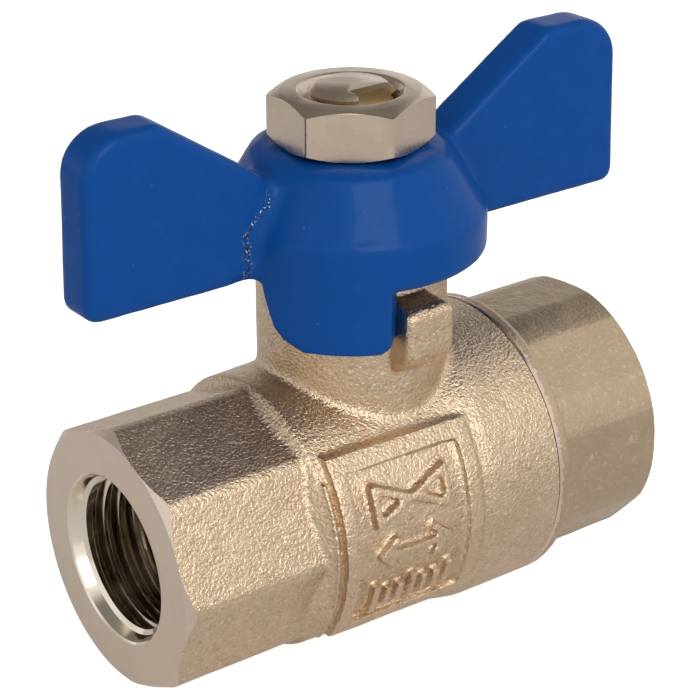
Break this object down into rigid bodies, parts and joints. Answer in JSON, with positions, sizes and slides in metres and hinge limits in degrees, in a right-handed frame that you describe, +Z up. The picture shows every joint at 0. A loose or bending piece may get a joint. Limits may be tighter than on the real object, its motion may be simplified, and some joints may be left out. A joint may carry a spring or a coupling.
{
  "type": "ball valve",
  "caption": "Two-piece quarter-turn ball valve for water shutoff, female pipe thread at both ends, butterfly handle on a double-D stem.",
  "frame": {"origin": "middle of the ball, where the flow axis meets the stem axis", "axes": "+X along the flow axis towards the screwed-in end cap, +Z up the stem to the handle, valve drawn open"},
  "size_m": [0.0502, 0.024, 0.0464],
  "materials": {
    "plated_forging": "nickel plated over shot-blasted forging, satin grain",
    "plated_turning": "nickel plated over a turned surface, bright",
    "chromed_ball": "polished",
    "raw_brass": "turned, unplated",
    "blue_enamel": "thick glossy enamel",
    "ptfe": "waxy white",
    "nitrile": "matt black"
  },
  "bodies": {
    "valve": {"valve_body": "plated_forging", "end_cap": "plated_forging", "cap_seal": "ptfe", "inlet_seat_ring": "ptfe", "outlet_seat_ring": "ptfe", "stem_thrust_washer": "ptfe", "stem_packing_ring": "ptfe", "gland_nut": "raw_brass"},
    "handle_and_stem": {"butterfly_handle": "blue_enamel", "handle_nut": "plated_turning", "stem": "plated_turning", "stem_o_ring": "nitrile"},
    "ball": {"ball": "chromed_ball"}
  },
  "joints": [
    {"name": "handle_turn", "type": "hinge", "parent": "valve", "child": "handle_and_stem", "pos_m": [0, 0, 0.0288], "axis": [0, 0, 1], "range_deg": [-90, 0]},
    {"name": "ball_turn", "type": "hinge", "parent": "valve", "child": "ball", "pos_m": [0, 0, 0], "axis": [0, 0, 1], "range_deg": [-90, 0]}
  ],
  "couplings": [
    {"joint": "ball_turn", "follows": "handle_turn", "ratio": 1}
  ]
}
